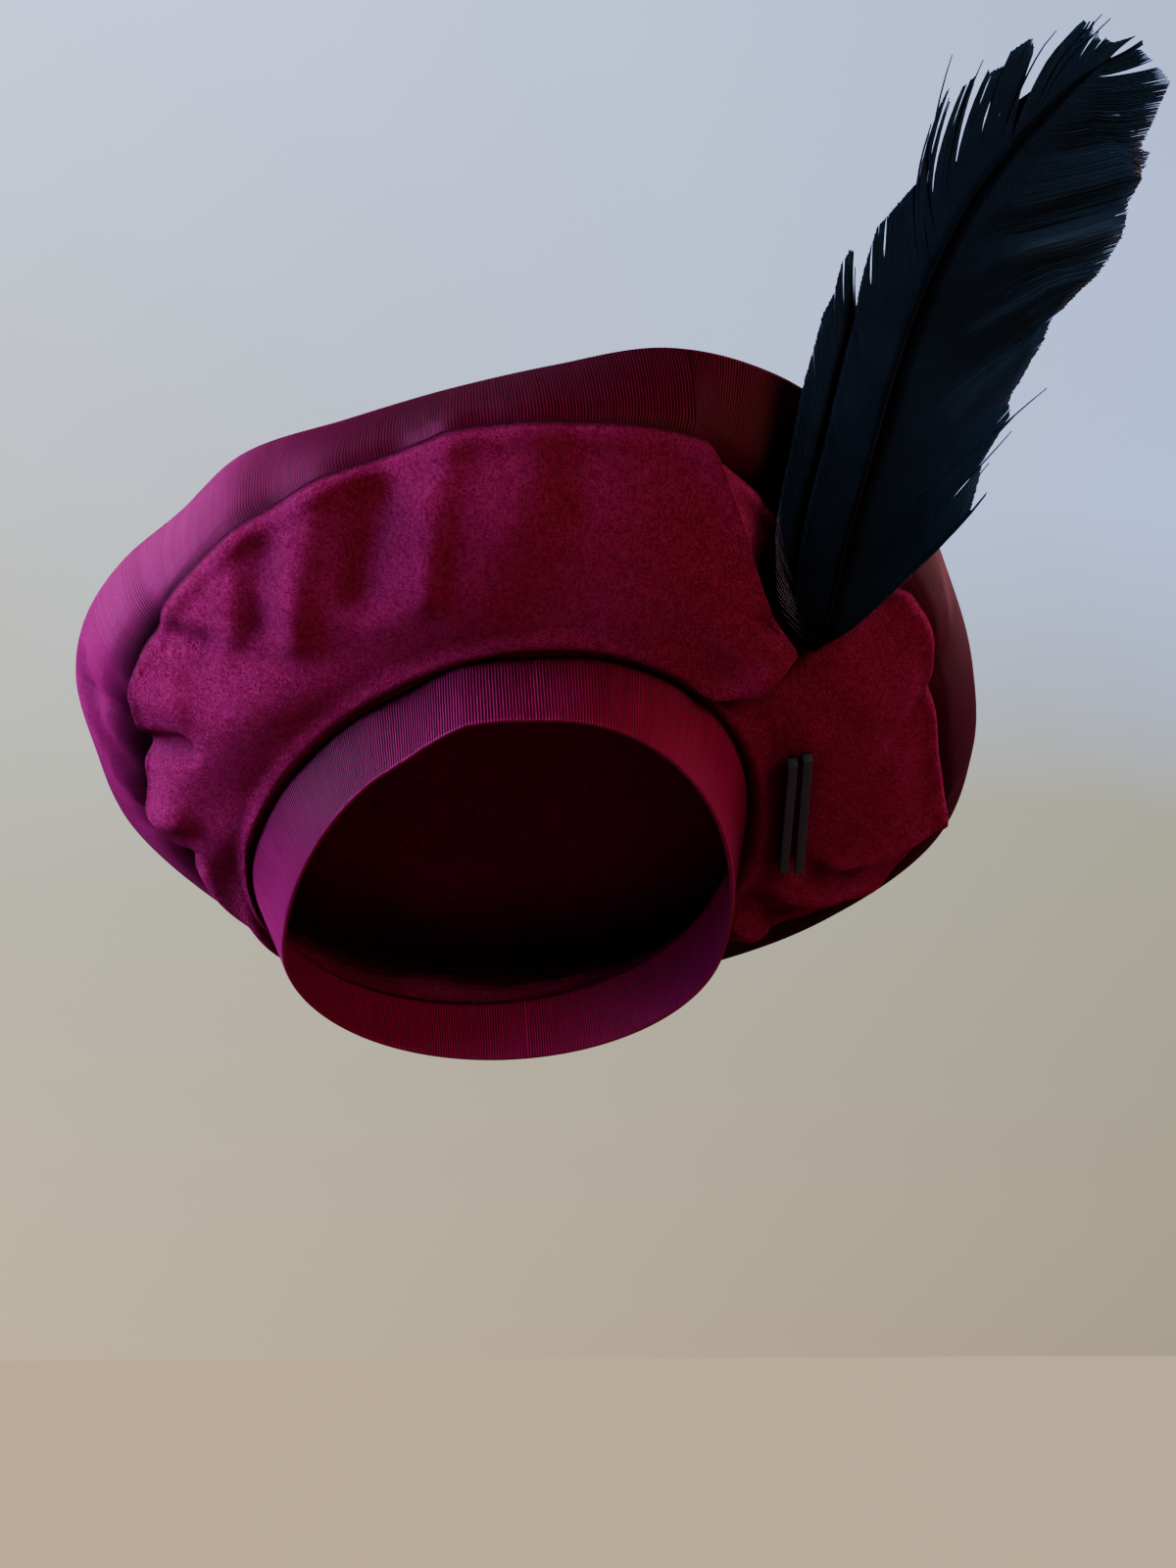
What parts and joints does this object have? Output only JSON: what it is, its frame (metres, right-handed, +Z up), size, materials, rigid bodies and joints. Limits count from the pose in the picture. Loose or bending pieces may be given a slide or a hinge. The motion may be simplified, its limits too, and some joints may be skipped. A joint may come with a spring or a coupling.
{
  "type": "tilt hat",
  "caption": "Soft felt tilt hat worn as a halo, with a wide ribbed ribbon rim, a ribbon head band, tall feathers in a pleat and square bars.",
  "frame": {"origin": "middle of the head opening at the lower edge of the head band, where the hat sits on a head", "axes": "+X to the wearer's left, +Y to the wearer's back, +Z up, with the hat as worn: leaned back by 38 degrees and lifted by 5 degrees at the wearer's left"},
  "size_m": [0.3539, 0.2503, 0.3411],
  "materials": {
    "felt": "burgundy fur felt with a short fuzzy nap",
    "grosgrain": "burgundy grosgrain ribbon with fine raised ribs across it",
    "feather": "black barbs with a soft blue sheen",
    "bar": "matte dark grey"
  },
  "bodies": {
    "root": {"crown_top": "felt", "rim_ribbon": "grosgrain", "underside": "felt", "head_band": "grosgrain", "feather_front": "feather", "feather_back": "feather", "bar_left": "bar", "bar_right": "bar"}
  },
  "joints": []
}
